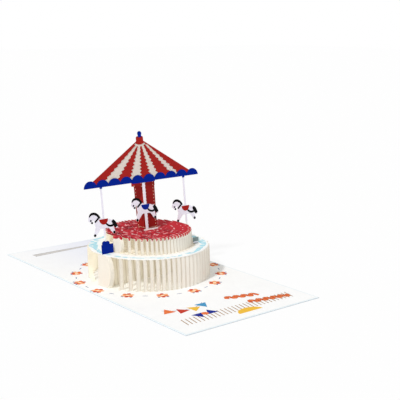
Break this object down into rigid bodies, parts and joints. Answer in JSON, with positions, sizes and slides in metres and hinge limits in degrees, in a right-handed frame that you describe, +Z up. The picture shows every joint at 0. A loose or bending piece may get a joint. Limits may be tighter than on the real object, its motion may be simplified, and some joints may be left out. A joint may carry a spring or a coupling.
{
  "type": "pop up card",
  "caption": "Open paper pop-up card: a round tiered base of folded ribbons carries a red column and a flat carousel with horses",
  "frame": {"origin": "middle of the open card's outside face on the surface that it lies on, at the fold", "axes": "+Z up; +X across the fold, from the left page to the right page; +Y along the fold, towards the back"},
  "size_m": [0.3, 0.15, 0.138],
  "materials": {
    "yellow_board": "matte",
    "white_paper": "matte",
    "cream_paper": "matte",
    "cream_and_crimson_paper": "matte",
    "iced_white_paper": "matte",
    "red_paper": "matte",
    "pale_paper": "matte",
    "blue_paper": "matte",
    "lavender_paper": "matte",
    "grey_green_paper": "matte"
  },
  "bodies": {
    "root": {"cover_card": "yellow_board", "inner_liner": "white_paper", "lower_ribbon_01": "cream_paper", "lower_ribbon_02": "cream_paper", "lower_ribbon_03": "cream_paper", "lower_ribbon_04": "cream_paper", "lower_ribbon_05": "cream_paper", "lower_ribbon_06": "cream_paper", "lower_ribbon_07": "cream_paper", "lower_ribbon_08": "cream_paper", "lower_ribbon_09": "cream_paper", "lower_ribbon_10": "cream_paper", "lower_ribbon_11": "cream_paper", "lower_ribbon_12": "cream_paper", "lower_ribbon_13": "cream_paper", "lower_ribbon_14": "cream_paper", "lower_ribbon_15": "cream_paper", "lower_ribbon_16": "cream_paper", "lower_ribbon_17": "cream_paper", "lower_ribbon_18": "cream_paper", "lower_ribbon_19": "cream_paper", "lower_ribbon_20": "cream_paper", "lower_ribbon_21": "cream_paper", "lower_ribbon_22": "cream_paper", "lower_ribbon_23": "cream_paper", "lower_ribbon_24": "cream_paper", "spine_sheet": "cream_paper", "upper_ribbon_01": "cream_and_crimson_paper", "upper_ribbon_02": "cream_and_crimson_paper", "upper_ribbon_03": "cream_and_crimson_paper", "upper_ribbon_04": "cream_and_crimson_paper", "upper_ribbon_05": "cream_and_crimson_paper", "upper_ribbon_06": "cream_and_crimson_paper", "upper_ribbon_07": "cream_and_crimson_paper", "upper_ribbon_08": "cream_and_crimson_paper", "upper_ribbon_09": "cream_and_crimson_paper", "upper_ribbon_10": "cream_and_crimson_paper", "upper_ribbon_11": "cream_and_crimson_paper", "upper_ribbon_12": "cream_and_crimson_paper", "upper_ribbon_13": "cream_and_crimson_paper", "upper_ribbon_14": "cream_and_crimson_paper", "upper_ribbon_15": "cream_and_crimson_paper", "upper_ribbon_16": "cream_and_crimson_paper", "upper_ribbon_17": "cream_and_crimson_paper", "upper_ribbon_18": "cream_and_crimson_paper", "upper_ribbon_19": "cream_and_crimson_paper", "upper_ribbon_20": "cream_and_crimson_paper", "upper_ribbon_21": "cream_and_crimson_paper", "upper_ribbon_22": "cream_and_crimson_paper", "icing_ring": "iced_white_paper", "red_column": "red_paper", "roof_front": "red_paper", "roof_backing": "pale_paper", "scallop_band": "blue_paper", "finial": "blue_paper", "parcel_left": "blue_paper", "horse_left": "lavender_paper", "horse_centre": "lavender_paper", "horse_right": "lavender_paper", "parcel_back": "grey_green_paper"}
  },
  "joints": []
}
